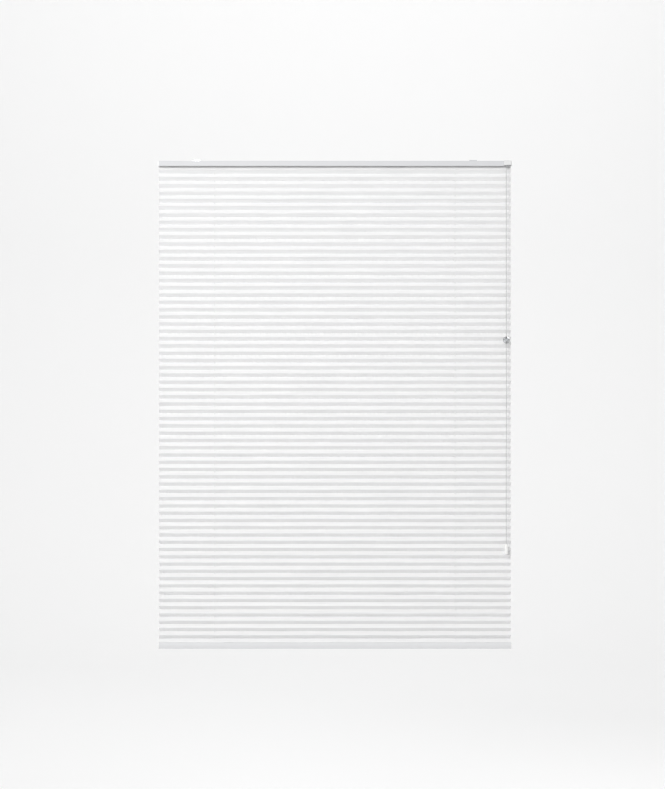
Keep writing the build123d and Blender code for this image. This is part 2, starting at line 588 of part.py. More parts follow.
def lift_cord_run(x, wrap_r):
    """The stretch in the headrail: over the pulley, along, round the post and over the roller."""
    pull_x = LOCK_POST_X + wrap_r
    points = [
        (x, LIFT_CORD_Y, LIFT_SPLIT_Z),
        (x, LIFT_CORD_Y, LANE_Z),
        (pull_x, LOCK_POST_Y + wrap_r, LANE_Z),
        (pull_x, PULL_Y, LANE_Z),
        (pull_x, PULL_Y, HOOD_BOTTOM),
    ]
    return cord_along(points, [PULLEY_WRAP_R, wrap_r, ROLLER_WRAP_R], LIFT_CORD_R)


def pull_cord(wrap_r):
    """The stretch from the lock's mouth to the knot in the connector."""
    return rod_z(LIFT_CORD_R, LOCK_POST_X + wrap_r, PULL_Y, (CONNECTOR_KNOT_Z, HOOD_BOTTOM))


# ---------------------------------------------------------------- connector and tassel


def connector_upper_half():
    r = CONNECTOR_R
    shell = Sphere(r) - Sphere(r - CONNECTOR_WALL)
    shell &= block((-r, r), (-r, r), (0, r))
    shell -= rod_z(CONNECTOR_TOP_HOLE_R, 0, 0, (0, r))
    return Pos(PULL_X, PULL_Y, CONNECTOR_Z) * shell


def connector_lower_half():
    """The same outside, with a rim that snaps into the upper half and pulls out of it."""
    r = CONNECTOR_R
    rim_r = CONNECTOR_RIM_R + CONNECTOR_RIM_THICKNESS
    cup = Sphere(r) & block((-r, r), (-r, r), (-r, 0))
    cavity = Sphere(r - CONNECTOR_WALL) & block((-r, r), (-r, r), (-r, -CONNECTOR_RIM_DEPTH))
    cup -= cavity
    cup += rod_z(rim_r, 0, 0, (-CONNECTOR_RIM_DEPTH / 2, CONNECTOR_RIM_HEIGHT))
    cup -= rod_z(CONNECTOR_RIM_R, 0, 0, (-CONNECTOR_RIM_DEPTH, CONNECTOR_RIM_HEIGHT))
    cup -= rod_z(TAIL_CORD_R + HOLE_PLAY, 0, 0, (-r, 0))
    return Pos(PULL_X, PULL_Y, CONNECTOR_Z) * cup


def connector_knots():
    """The knot of the two lift cords, and the knot of the tail cord."""
    upper = knot(CONNECTOR_KNOT_R, PULL_X, PULL_Y, CONNECTOR_KNOT_Z, CONNECTOR_KNOT_FLAT)
    lower = knot(TAIL_KNOT_R, PULL_X, PULL_Y, TAIL_TOP, TAIL_KNOT_FLAT, flat_on_top=False)
    return upper, lower


def tail_cord():
    return rod_z(TAIL_CORD_R, PULL_X, PULL_Y, (TASSEL_KNOT_TOP, TAIL_TOP))


def tassel():
    """A turned bell with a narrow neck, bored for the cord and hollow at the foot."""
    bore = TAIL_CORD_R + HOLE_PLAY
    cavity_z = -TASSEL_LENGTH + TASSEL_CAVITY_DEPTH
    outline = [
        Line((bore, 0), (TASSEL_NECK_R, 0)),
        Spline(
            (TASSEL_NECK_R, 0),
            (TASSEL_R, -TASSEL_BELLY_DROP),
            (TASSEL_FOOT_R, -TASSEL_LENGTH),
            tangents=[(0.5, -1), (-0.5, -1)],
        ),
        Line((TASSEL_FOOT_R, -TASSEL_LENGTH), (TASSEL_CAVITY_R, -TASSEL_LENGTH)),
        Line((TASSEL_CAVITY_R, -TASSEL_LENGTH), (TASSEL_CAVITY_R, cavity_z)),
        Line((TASSEL_CAVITY_R, cavity_z), (bore, cavity_z)),
        Line((bore, cavity_z), (bore, 0)),
    ]
    turned = revolve(Plane.XZ * make_face(outline), axis=Axis.Z)
    return Pos(PULL_X, PULL_Y, TASSEL_TOP_Z) * turned


# ---------------------------------------------------------------- the whole blind

os.makedirs("parts", exist_ok=True)

write("headrail", headrail())
write("headrail_end_cap_left", headrail_end_cap(-1))
write("headrail_end_cap_right", headrail_end_cap(1))
write("headrail_fabric_strip", fabric_strip(HOOK_TOP, 1, CLOTH_TOP + CLOTH_THICKNESS / 2))

write("pleated_fabric", pleated_fabric())

write("bottom_fabric_strip", fabric_strip(BOTTOM_HOOK_UNDER, -1, CLOTH_BOTTOM - CLOTH_THICKNESS / 2))
write("bottom_rail", bottom_rail())
write("bottom_rail_end_cap_left", bottom_rail_end_cap(-1))
write("bottom_rail_end_cap_right", bottom_rail_end_cap(1))

for side, x in (("left", -BRACKET_X), ("right", BRACKET_X)):
    write("mounting_bracket_" + side, mounting_bracket(x))
    write("bracket_latch_" + side, bracket_latch(x))
    write("bracket_rivet_" + side, bracket_rivet(x))

for side, x, wrap_r in (("left", -LIFT_CORD_X, INNER_WRAP_R), ("right", LIFT_CORD_X, OUTER_WRAP_R)):
    write("cord_guide_" + side, cord_guide(x))
    write("guide_pulley_" + side, guide_pulley(x))
    write("guide_pin_" + side, guide_pin(x))
    write("bottom_eyelet_" + side, eyelet(x))
    flat_z = BOTTOM_WEB_UNDER - EYELET_FLANGE_THICKNESS
    write("lift_cord_knot_" + side, knot(LIFT_KNOT_R, x, LIFT_CORD_Y, flat_z, LIFT_KNOT_R - SIDE_PLAY))
    write("lift_cord_drop_" + side, lift_cord_drop(x))
    write("lift_cord_run_" + side, lift_cord_run(x, wrap_r))
    write("pull_cord_" + side, pull_cord(wrap_r))

write("cord_lock_housing", cord_lock_housing())
write("cord_lock_roller", cord_lock_roller())
write("cord_lock_pawl", cord_lock_pawl())
write("cord_lock_pins", *cord_lock_pins())

upper_knot, lower_knot = connector_knots()
write("connector_upper_half", connector_upper_half())
write("connector_upper_knot", upper_knot)
write("connector_lower_half", connector_lower_half())
write("connector_lower_knot", lower_knot)
write("tail_cord", tail_cord())
write("tassel", tassel())
write("tassel_knot", knot(TAIL_KNOT_R, PULL_X, PULL_Y, TASSEL_KNOT_TOP, TAIL_KNOT_R - 2 * SIDE_PLAY))

print("lift travel", round(LIFT_TRAVEL, 3), "pull cord at", round(PULL_X, 3), round(PULL_Y, 3))
print("pulley", round(PULLEY_WRAP_R, 3), round(PULLEY_Z, 3), "roller", round(ROLLER_Y, 3), round(ROLLER_Z, 3))
print("pawl", round(PAWL_Y, 3), round(PAWL_Z, 3), "split", round(LIFT_SPLIT_Z, 3), round(HOOD_BOTTOM, 3))
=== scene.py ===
"""A corded pleated blind, hanging fully lowered."""

import bisect
import math

import bmesh
import bpy
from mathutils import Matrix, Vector, noise


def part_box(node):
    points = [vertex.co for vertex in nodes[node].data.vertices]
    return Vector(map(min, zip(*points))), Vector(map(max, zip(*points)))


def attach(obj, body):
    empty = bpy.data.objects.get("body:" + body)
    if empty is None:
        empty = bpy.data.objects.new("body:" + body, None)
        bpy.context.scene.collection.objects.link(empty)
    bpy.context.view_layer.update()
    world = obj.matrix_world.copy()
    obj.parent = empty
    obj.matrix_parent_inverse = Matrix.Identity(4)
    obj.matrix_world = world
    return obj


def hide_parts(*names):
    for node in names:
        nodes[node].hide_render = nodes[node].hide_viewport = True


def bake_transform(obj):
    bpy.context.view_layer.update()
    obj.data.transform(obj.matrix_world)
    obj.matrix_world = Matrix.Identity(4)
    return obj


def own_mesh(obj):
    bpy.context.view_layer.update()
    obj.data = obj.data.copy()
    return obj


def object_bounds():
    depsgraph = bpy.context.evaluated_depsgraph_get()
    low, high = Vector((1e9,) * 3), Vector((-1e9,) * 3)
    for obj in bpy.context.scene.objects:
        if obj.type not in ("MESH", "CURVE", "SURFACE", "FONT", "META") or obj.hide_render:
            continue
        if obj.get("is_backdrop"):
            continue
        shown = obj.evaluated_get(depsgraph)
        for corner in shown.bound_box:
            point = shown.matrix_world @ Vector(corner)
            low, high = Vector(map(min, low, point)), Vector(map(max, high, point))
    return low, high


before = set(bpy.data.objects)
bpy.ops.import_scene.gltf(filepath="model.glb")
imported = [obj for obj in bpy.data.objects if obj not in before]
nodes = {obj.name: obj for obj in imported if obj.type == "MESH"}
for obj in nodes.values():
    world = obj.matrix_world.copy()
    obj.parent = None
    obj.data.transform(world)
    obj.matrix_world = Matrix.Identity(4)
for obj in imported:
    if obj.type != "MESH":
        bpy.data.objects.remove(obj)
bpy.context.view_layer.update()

# ---------------------------------------------------------------- studio
# A pale sweep of paper far behind the blind and below it, and a camera level with its middle.  A
# soft sun from the upper left, panels before the blind, behind it and over the paper, and an even
# light from all round.

CAMERA_PLACE = (-0.0066, -6.2, -0.6443)
VIEW_HEIGHT = 2.172  # what the camera takes in at the blind
SENSOR_HEIGHT = 36.0

camera_data = bpy.data.cameras.new("Camera")
camera_data.lens = SENSOR_HEIGHT * -CAMERA_PLACE[1] / VIEW_HEIGHT
camera = bpy.data.objects.new("Camera", camera_data)
camera.location = CAMERA_PLACE
camera.rotation_euler = (math.radians(90), 0, 0)
bpy.context.scene.collection.objects.link(camera)
bpy.context.scene.camera = camera
bpy.context.scene.view_settings.view_transform = "Standard"

KEY_FROM = Vector((-0.53, -1.0, 0.58))
KEY_STRENGTH = 0.31
KEY_SOFTNESS = math.radians(9)
ROOM_LIGHT = 0.6

key_data = bpy.data.lights.new("Key", "SUN")
key_data.energy = KEY_STRENGTH
key_data.angle = KEY_SOFTNESS
key = bpy.data.objects.new("Key", key_data)
key.rotation_euler = KEY_FROM.to_track_quat("Z", "Y").to_euler()
bpy.context.scene.collection.objects.link(key)


def soft_panel(name, place, aim, power, size):
    """A square light panel that faces the point it is aimed at."""
    light = bpy.data.lights.new(name, "AREA")
    light.energy = power
    light.size = size
    stand = bpy.data.objects.new(name, light)
    stand.location = place
    stand.rotation_euler = (Vector(place) - Vector(aim)).to_track_quat("Z", "Y").to_euler()
    stand.visible_camera = False
    bpy.context.scene.collection.objects.link(stand)


soft_panel("Fill", place=(-0.9, -3.2, 0.7), aim=(0, 0, -0.3), power=58.0, size=0.7)
soft_panel("Behind", place=(2.2, 3.6, 1.6), aim=(0, 0, -0.6), power=60.0, size=1.5)
soft_panel("Wall", place=(0, 5.0, 6.0), aim=(0, 12.0, -1.0), power=260.0, size=5.0)

room = bpy.data.worlds.new("Room")
room.use_nodes = True
even_light = room.node_tree.nodes["Background"].inputs
even_light["Color"].default_value = (1, 1, 1, 1)
even_light["Strength"].default_value = ROOM_LIGHT
bpy.context.scene.world = room

FLOOR_Z = -2.45
SWEEP_WIDTH = 60.0
SWEEP_FRONT = -30.0
SWEEP_BEND_Y = 9.0
SWEEP_RADIUS = 3.0
SWEEP_TOP = 14.0
SWEEP_BEND_ROWS = 24
PAPER_WHITE = (0.9, 0.9, 0.9)
PAPER_ROUGHNESS = 0.95


def shown(name, mesh_maker):
    """The object made of a finished bmesh, at the origin."""
    mesh = bpy.data.meshes.new(name)
    mesh_maker.to_mesh(mesh)
    mesh_maker.free()
    mesh.shade_smooth()
    made = bpy.data.objects.new(name, mesh)
    bpy.context.scene.collection.objects.link(made)
    return made


def start_finish(name, colour, roughness):
    """A new material with its plain colour and gloss, then its nodes, its links and its shader."""
    material = bpy.data.materials.new(name)
    material.use_nodes = True
    made = material.node_tree.nodes
    shader = made["Principled BSDF"]
    shader.inputs["Base Color"].default_value = (*colour, 1)
    shader.inputs["Roughness"].default_value = roughness
    return material, made, material.node_tree.links, shader


def sweep_profile():
    """Depth and height of the paper, from the front of the floor to the top of the wall."""
    line = [(SWEEP_FRONT, FLOOR_Z)]
    for i in range(SWEEP_BEND_ROWS + 1):
        turn = math.pi / 2 * i / SWEEP_BEND_ROWS
        y = SWEEP_BEND_Y + SWEEP_RADIUS * math.sin(turn)
        line.append((y, FLOOR_Z + SWEEP_RADIUS * (1 - math.cos(turn))))
    line.append((SWEEP_BEND_Y + SWEEP_RADIUS, SWEEP_TOP))
    return line


paper = bmesh.new()
edge = [paper.verts.new((-SWEEP_WIDTH / 2, y, z)) for y, z in sweep_profile()]
lines = [paper.edges.new(pair) for pair in zip(edge, edge[1:])]
drawn = bmesh.ops.extrude_edge_only(paper, edges=lines)
moved = [v for v in drawn["geom"] if isinstance(v, bmesh.types.BMVert)]
bmesh.ops.translate(paper, verts=moved, vec=(SWEEP_WIDTH, 0, 0))
bmesh.ops.recalc_face_normals(paper, faces=paper.faces)
backdrop = shown("paper_sweep", paper)
backdrop.data.materials.append(start_finish("sweep_paper", PAPER_WHITE, PAPER_ROUGHNESS)[0])
backdrop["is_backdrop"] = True

# ---------------------------------------------------------------- pull cords
# Two lift cords of 1 mm braided polyester, side by side out of the lock's mouth, down to the knot
# in the connector.  Eight strands cross over and under each other in a fine diamond relief.

CORD_R = 0.0005
CORD_RELIEF = 0.00006
CORD_STRANDS = 4  # going each way round
CORD_BRAID_PITCH = 0.0026
CORD_STEP = 0.00033
CORD_SIDES = 16
CORD_SWAY = 0.0001
CORD_SWAYS_AT = (0.35, 0.7)  # shares of its drop where it leans one way, then the other
CORD_STRAIGHT_END = 12  # radii
CORD_INTO_KNOT = 0.002
# The pull and tail cords are a darker grey than the same yarn in the cloth's drops.
CORD_GREY = (0.58, 0.58, 0.58)
CORD_FIBRE = 0.00009
LINE_FINENESS = 40
SEAM_SIDE = Vector((1, 0, 0))


def smooth_line(name, points, closed=False):
    """The smooth line of a cord that follows these points."""
    curve = bpy.data.curves.new(name, "CURVE")
    curve.dimensions = "3D"
    spline = curve.splines.new("NURBS")
    spline.points.add(len(points) - 1)
    for point, place in zip(spline.points, points):
        point.co = (*place, 1)
    spline.order_u = 3
    spline.use_endpoint_u = not closed
    spline.use_cyclic_u = closed
    spline.resolution_u = LINE_FINENESS
    holder = bpy.data.objects.new(name, curve)
    mesh = bpy.data.meshes.new_from_object(holder)
    line = [v.co.copy() for v in mesh.vertices]
    bpy.data.objects.remove(holder)
    bpy.data.curves.remove(curve)
    bpy.data.meshes.remove(mesh)
    return line + [line[0].copy()] if closed else line


def evenly(line, step):
    """Places about a step apart along a line, with both of its ends."""
    reach = [0.0]
    for a, b in zip(line, line[1:]):
        reach.append(reach[-1] + (b - a).length)
    count = max(2, round(reach[-1] / step))
    places = []
    i = 0
    for n in range(count + 1):
        wanted = reach[-1] * n / count
        while i < len(line) - 2 and reach[i + 1] < wanted:
            i += 1
        share = (wanted - reach[i]) / max(reach[i + 1] - reach[i], 1e-9)
        places.append(line[i].lerp(line[i + 1], min(share, 1.0)))
    return places


def braided(name, places, outwards, radius, relief, pitch, sides):
    """A braided cord along these places: a flat braid wrapped round them, welded along its seam.

    outwards gives, for each place, a direction that the seam faces.  Ends that meet are welded too.
    """
    rings = len(places) - 1
    closed = (places[0] - places[-1]).length < radius / 100
    if closed:
        whole = sum((b - a).length for a, b in zip(places, places[1:]))
        pitch = whole / max(1, round(whole / pitch))
    frames = []
    reach = 0.0
    for i, place in enumerate(places):
        if closed:
            ahead, behind = places[(i + 1) % rings], places[(i - 1) % rings]
        else:
            ahead, behind = places[min(i + 1, rings)], places[max(i - 1, 0)]
        along = (ahead - behind).normalized()
        seam = (outwards[i] - along * outwards[i].dot(along)).normalized()
        reach += (place - places[i - 1]).length if i else 0.0
        frames.append((place, seam, along.cross(seam), reach))
    made = bmesh.new()
    braid = made.loops.layers.uv.new("Braid")
    bmesh.ops.create_grid(made, x_segments=sides, y_segments=rings, size=0.5)
    for face in made.faces:
        for loop in face.loops:
            flat = loop.vert.co
            width = (flat.x + 0.5) * math.tau * radius
            loop[braid].uv = (width, frames[round((flat.y + 0.5) * rings)][3])
    for vert in made.verts:
        turn = (vert.co.x + 0.5) * math.tau
        place, seam, beside, reach = frames[round((vert.co.y + 0.5) * rings)]
        lay = math.tau * reach / pitch
        crossing = math.sin(CORD_STRANDS * turn + lay) * math.sin(CORD_STRANDS * turn - lay)
        r = radius - relief * (0.5 - 0.5 * crossing)
        vert.co = place + (seam * math.cos(turn) + beside * math.sin(turn)) * r
    bmesh.ops.remove_doubles(made, verts=made.verts, dist=radius / 500)
    if not closed:
        rims = [e for e in made.edges if e.is_boundary]
        bmesh.ops.holes_fill(made, edges=rims, sides=sides)
    bmesh.ops.recalc_face_normals(made, faces=made.faces)
    return shown(name, made)


def hanging_points(node, sway, radius, above=0.0, below=0.0):
    """Points down the middle of an upright cord, a hair out of true between two straight ends.

    It may run on above or below its node, into a knot.
    """
    low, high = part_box(node)
    x, y = (low.x + high.x) / 2, (low.y + high.y) / 2
    top, foot = high.z + above, low.z - below
    drop = top - foot
    straight = CORD_STRAIGHT_END * radius
    one_way, other_way = CORD_SWAYS_AT
    return [
        (x, y, top),
        (x, y, top - straight),
        (x + sway, y, top - one_way * drop),
        (x - sway, y, top - other_way * drop),
        (x, y, foot + straight),
        (x, y, foot),
    ]


def in_relief(finish, height, depth, strength=1.0, over=None):
    """Raises a pattern on a finish, or on a relief that it already has, and gives the relief."""
    _, made, links, shader = finish
    relief = made.new("ShaderNodeBump")
    relief.inputs["Distance"].default_value = depth
    relief.inputs["Strength"].default_value = strength
    links.new(height, relief.inputs["Height"])
    if over:
        links.new(over.outputs["Normal"], relief.inputs["Normal"])
    links.new(relief.outputs["Normal"], shader.inputs["Normal"])
    return relief


def two_tone(finish, share, first, second):
    """Lets a pattern shade a finish from its first colour to its second."""
    _, made, links, shader = finish
    tint = made.new("ShaderNodeMixRGB")
    tint.inputs[1].default_value = (*first, 1)
    tint.inputs[2].default_value = (*second, 1)
    links.new(share, tint.inputs["Fac"])
    links.new(tint.outputs["Color"], shader.inputs["Base Color"])


def dimmed(colour, share):
    """The colour with this share of its brightness."""
    return [share * c for c in colour]


def both_of(finish, one, other):
    """Where two patterns cross."""
    _, made, links, _ = finish
    product = made.new("ShaderNodeMath")
    product.operation = "MULTIPLY"
    links.new(one, product.inputs[0])
    links.new(other, product.inputs[1])
    return product.outputs["Value"]


FILAMENT_LEAN = 38  # degrees to the cord, both ways
FILAMENTS_PER_FIBRE = 1 / (3.2 * math.tau)


def cord_finish(name, colour, fibre):
    """Braided polyester yarn: fine filaments across the strands both ways, with painted shade in
    the hollows between them.
    """
    finish = start_finish(name, colour, 0.7)
    material, made, links, shader = finish
    shader.inputs["Sheen Weight"].default_value = 0.25
    shader.inputs["Sheen Roughness"].default_value = 0.4
    flat = made.new("ShaderNodeUVMap")
    flat.uv_map = "Braid"
    filaments = []
    for lean in (-FILAMENT_LEAN, FILAMENT_LEAN):
        turned = made.new("ShaderNodeMapping")
        turned.inputs["Rotation"].default_value = (0, 0, math.radians(lean))
        links.new(flat.outputs["UV"], turned.inputs["Vector"])
        laid = made.new("ShaderNodeTexWave")
        laid.inputs["Scale"].default_value = FILAMENTS_PER_FIBRE / fibre
        laid.inputs["Distortion"].default_value = 1.2
        links.new(turned.outputs["Vector"], laid.inputs["Vector"])
        filaments.append(laid.outputs["Fac"])
    crossed = both_of(finish, *filaments)
    in_relief(finish, crossed, fibre / 3, 0.6)
    # Painted shade: darker where the filaments' relief is low.
    two_tone(finish, crossed, dimmed(colour, 0.86), colour)
    return material


def hung_cord(node, points, step, radius, relief, pitch, sides, yarn):
    """An upright cord through these points in place of its node, and the places along it."""
    places = evenly(smooth_line(node, points), step)
    seams = [SEAM_SIDE] * len(places)
    hung = braided(node + "_braid", places, seams, radius, relief, pitch, sides)
    hung.data.materials.append(yarn)
    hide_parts(node)
    return hung, places


cord_yarn = cord_finish("braided_cord", CORD_GREY, CORD_FIBRE)
CORD_BRAID = (CORD_R, CORD_RELIEF, CORD_BRAID_PITCH)

pull_cords = {}
for side, sway in (("left", -CORD_SWAY), ("right", CORD_SWAY)):
    node = "pull_cord_" + side
    points = hanging_points(node, sway, CORD_R, below=CORD_INTO_KNOT)
    cord, places = hung_cord(node, points, CORD_STEP, *CORD_BRAID, CORD_SIDES, cord_yarn)
    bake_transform(cord)
    pull_cords[side] = (cord, places)

# ---------------------------------------------------------------- knots
# Each stop is an overhand knot in the cord itself, pulled down tight: two in the connector, one in
# the tassel and one under each eyelet in the bottom rail.

KNOT_LOBES = 3
KNOT_POINTS = 15
KNOT_STEP = 0.00025
KNOT_SPREAD = 2  # of its loops, to the ring that they lie round
KNOT_DEPTH = 1.7
KNOT_RELIEF = 0.12  # of its strand's radius


def knot_points():
    """Points along a pulled-down knot, before it is brought to size."""
    points = []
    for n in range(KNOT_POINTS):
        turn = math.tau * n / KNOT_POINTS
        x = math.sin(turn) + KNOT_SPREAD * math.sin(2 * turn)
        y = math.cos(turn) - KNOT_SPREAD * math.cos(2 * turn)
        points.append(Vector((x, y, -KNOT_DEPTH * math.sin(KNOT_LOBES * turn))))
    return points


def knot(node, strand_r, body):
    """A knot that fills its place, so that it bears on what it stops against."""
    low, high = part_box(node)
    centre = (low + high) / 2
    line = smooth_line(node, knot_points(), closed=True)
    for axis in range(3):
        least, most = min(p[axis] for p in line), max(p[axis] for p in line)
        share = (high[axis] - low[axis] - 2 * strand_r) / (most - least)
        for place in line:
            place[axis] = low[axis] + strand_r + (place[axis] - least) * share
    places = evenly(line, KNOT_STEP)
    seams = [place - centre for place in places]
    relief = strand_r * KNOT_RELIEF
    tied = braided(node + "_tied", places, seams, strand_r, relief, CORD_BRAID_PITCH, CORD_SIDES)
    tied.data.materials.append(cord_yarn)
    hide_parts(node)
    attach(tied, body)
    return tied


upper_knot = knot("connector_upper_knot", 0.0008, "connector_top")
lower_knot = knot("connector_lower_knot", 0.0009, "connector_tail")
tassel_knot = knot("tassel_knot", 0.0009, "connector_tail")
for side in ("left", "right"):
    knot("lift_cord_knot_" + side, 0.0006, "bottom_rail_assembly")

# ---------------------------------------------------------------- tail cord
# One thicker cord of the same braid, 1.8 mm, from the connector's lower half to the tassel, whose
# weight keeps it straight.

TAIL_R = 0.0009
TAIL_RELIEF = 0.0001
TAIL_BRAID_PITCH = 0.0042
TAIL_STEP = 0.0005
TAIL_SWAY = 0.0004
TAIL_FIBRE = 0.00013
TAIL_BRAID = (TAIL_R, TAIL_RELIEF, TAIL_BRAID_PITCH)

points = hanging_points("tail_cord", TAIL_SWAY, TAIL_R, above=CORD_INTO_KNOT, below=CORD_INTO_KNOT)
tail_yarn = cord_finish("braided_tail_cord", CORD_GREY, TAIL_FIBRE)
tail, places = hung_cord("tail_cord", points, TAIL_STEP, *TAIL_BRAID, CORD_SIDES, tail_yarn)
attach(tail, "connector_tail")

connector = [nodes["connector_upper_half"], nodes["connector_lower_half"], upper_knot]
for side, far_end, fitted in (("left", "connector", connector), ("right", "knot", [])):
    cord, places = pull_cords[side]

# ---------------------------------------------------------------- lift cords in the cloth
# The same 1 mm braid, straight down through the punched cloth at two places, from the guides in the
# headrail to the knots in the bottom rail.  On the real blind they shorten as the rail rises,
# because the rest runs out along the headrail; these hang at full drop.

DROP_STEP = 0.0012
DROP_SIDES = 12
DROP_WHITE = (0.82, 0.82, 0.81)

lift_yarn = cord_finish("braided_lift_cord", DROP_WHITE, CORD_FIBRE)


for side in ("left", "right"):
    node = "lift_cord_drop_" + side
    points = hanging_points(node, 0, CORD_R)
    cord, places = hung_cord(node, points, DROP_STEP, *CORD_BRAID, DROP_SIDES, lift_yarn)
    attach(cord, "headrail_assembly")
    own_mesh(cord)

# ---------------------------------------------------------------- pleated cloth
# One sheet of white woven polyester, 968 mm wide and 2.65 m long flat, heat set into 20 mm facets.
# A bonded facet at each end holds it to the strips in the rails.  Every facet is punched for the
# two lift cords, near its rear fold.

CLOTH_WIDTH = 0.968
FACET = 0.020
FOLD_Y = math.sqrt(FACET**2 - (FACET / 2) ** 2) / 2
FACETS = 131
CLOTH_THICKNESS = 0.0003
CLOTH_COLUMN = 0.033
CLOTH_SELVEDGE = 0.0006  # a narrow column along each side keeps the cut edge crisp
SELVEDGE_XS = (CLOTH_SELVEDGE - CLOTH_WIDTH / 2, CLOTH_WIDTH / 2 - CLOTH_SELVEDGE)
HOLE_HALF_WIDTH = 0.0018
HOLE_MARGIN = 0.0002
HOLE_R = 0.0015
HOLE_R_ALONG = HOLE_R * FACET / (2 * FOLD_Y)  # round when looked at straight down
CREASE_BLUNT = 0.0002
FACET_BOW = 0.00006
FOLD_WANDER_Y = 0.0001
FOLD_WANDER_Z = 0.00005
WANDER_WAVES = 5.0  # a metre
WANDER_PER_FOLD = 7.3
DEPTH_SEED, HEIGHT_SEED, BOW_SEED = 0, 9, 17
SETTLED_FACETS = 3  # at each end, where the strip holds the folds true

# Rows down a facet, as shares of it from the fold that it starts at, and the row that its holes
# follow.  They lie close together at the creases.
FROM_REAR = (0.0, 0.03, 0.08, 0.17, 0.37, 0.625, 0.92, 0.97), 3
FROM_FRONT = (0.0, 0.03, 0.08, 0.375, 0.63, 0.83, 0.92, 0.97), 4
BONDED = (0.0, 0.3, 0.627, 0.835), 2

cloth_low, cloth_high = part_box("pleated_fabric")
cloth_top = cloth_high.z - CLOTH_THICKNESS / 2
cloth_bottom = cloth_low.z + CLOTH_THICKNESS / 2
cord_xs = []
for side in ("left", "right"):
    low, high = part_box("lift_cord_drop_" + side)
    cord_xs.append((low.x + high.x) / 2)

folds = [(-FOLD_Y, cloth_top)]
for i in range(FACETS + 1):
    folds.append((FOLD_Y if i % 2 == 0 else -FOLD_Y, cloth_top - i * FACET / 2))
folds.append((FOLD_Y, cloth_bottom))

# Each row of the sheet: its place along the flat sheet, its facet, its share of that, then its
# depth and height once folded
rows = []
holed_rows = set()
reach = 0.0
for i, (start, end) in enumerate(zip(folds, folds[1:])):
    run = math.dist(start, end)
    if i in (0, FACETS + 1):
        shares, holed = BONDED
    elif start[0] > 0:
        shares, holed = FROM_REAR
    else:
        shares, holed = FROM_FRONT
    holed_rows.add(len(rows) + holed)
    for share in shares:
        y = start[0] + (end[0] - start[0]) * share
        z = start[1] + (end[1] - start[1]) * share
        rows.append((reach + run * share, i, share, y, z))
    reach += run
rows.append((reach, FACETS + 1, 1.0, *folds[-1]))
cloth_length = reach

plain_columns = round(CLOTH_WIDTH / CLOTH_COLUMN)
columns = [CLOTH_WIDTH * (n / plain_columns - 0.5) for n in range(plain_columns + 1)]
columns = [x for x in columns if all(abs(x - c) > 3 * HOLE_HALF_WIDTH for c in cord_xs)]
for x in cord_xs:
    columns += [x - HOLE_HALF_WIDTH, x + HOLE_HALF_WIDTH]
columns += SELVEDGE_XS
columns.sort()
holed_columns = {columns.index(x - HOLE_HALF_WIDTH) for x in cord_xs}


def wander(x, fold, seed):
    """A slow unevenness along one fold, from -1 to 1."""
    return noise.noise(Vector((x * WANDER_WAVES, fold * WANDER_PER_FOLD, seed)))


def folded(x, row):
    """The place of a point of the flat sheet once the sheet is pleated."""
    _, i, share, y, z = rows[row]
    if i in (0, FACETS + 1):
        return Vector((x, y, z))
    settled = min(1.0, (i - 1) / SETTLED_FACETS, (FACETS - i) / SETTLED_FACETS)
    dy = (1 - share) * wander(x, i - 1, DEPTH_SEED) + share * wander(x, i, DEPTH_SEED)
    dz = (1 - share) * wander(x, i - 1, HEIGHT_SEED) + share * wander(x, i, HEIGHT_SEED)
    bow = FACET_BOW * math.sin(math.pi * share) * wander(x, i, BOW_SEED)
    blunt = CREASE_BLUNT if share == 0.0 else 0.0
    y += settled * FOLD_WANDER_Y * dy - math.copysign(blunt, y)
    z += settled * (FOLD_WANDER_Z * dz + bow)
    return Vector((x, y, z))


sheet = bmesh.new()
flat_map = sheet.loops.layers.uv.new("Cloth")
across, down = len(columns) - 1, len(rows) - 1
bmesh.ops.create_grid(sheet, x_segments=across, y_segments=down, size=0.5)
punched = []
for face in sheet.faces:
    middle = face.calc_center_median()
    column = math.floor((middle.x + 0.5) * across)
    row = math.floor((0.5 - middle.y) * down)
    if column in holed_columns and row in holed_rows:
        punched.append(face)
for vert in sheet.verts:
    column = round((vert.co.x + 0.5) * across)
    row = round((0.5 - vert.co.y) * down)
    vert.co = (columns[column], -rows[row][0], 0)

# The holes are cut while the sheet is flat
bmesh.ops.inset_individual(sheet, faces=punched, thickness=HOLE_MARGIN)
centres = [face.calc_center_median() for face in punched]
rims = list({edge for face in punched for edge in face.edges})
bmesh.ops.delete(sheet, geom=punched, context="FACES")
bmesh.ops.subdivide_edges(sheet, edges=rims, cuts=2)
for vert in sheet.verts:
    off_sides = abs(vert.co.x) < CLOTH_WIDTH / 2 - HOLE_R
    off_ends = HOLE_R < -vert.co.y < cloth_length - HOLE_R
    if vert.is_boundary and off_sides and off_ends:
        centre = min(centres, key=lambda c: (c - vert.co).length_squared)
        turn = math.atan2(vert.co.y - centre.y, vert.co.x - centre.x)
        vert.co = centre + Vector((HOLE_R * math.cos(turn), HOLE_R_ALONG * math.sin(turn), 0))
for face in sheet.faces:
    for loop in face.loops:
        loop[flat_map].uv = (loop.vert.co.x, -loop.vert.co.y)

starts = [row[0] for row in rows]


def settle(vert):
    """The pleated place of a point of the flat sheet, between the two rows that it lies on."""
    length = -vert.co.y
    low = min(bisect.bisect_right(starts, length + 1e-7) - 1, len(starts) - 2)
    share = (length - starts[low]) / (starts[low + 1] - starts[low])
    return folded(vert.co.x, low).lerp(folded(vert.co.x, low + 1), share)


for vert in sheet.verts:
    vert.co = settle(vert)
bmesh.ops.recalc_face_normals(sheet, faces=sheet.faces)
cloth = shown("cloth_sheet", sheet)

cloth_body = cloth.modifiers.new("Thickness", "SOLIDIFY")
cloth_body.thickness = CLOTH_THICKNESS
cloth_body.offset = 0.0
# The wide faces set the shading, not the narrow ones at the creases and rims
facets_flat = cloth.modifiers.new("Facets", "WEIGHTED_NORMAL")
facets_flat.weight = 80


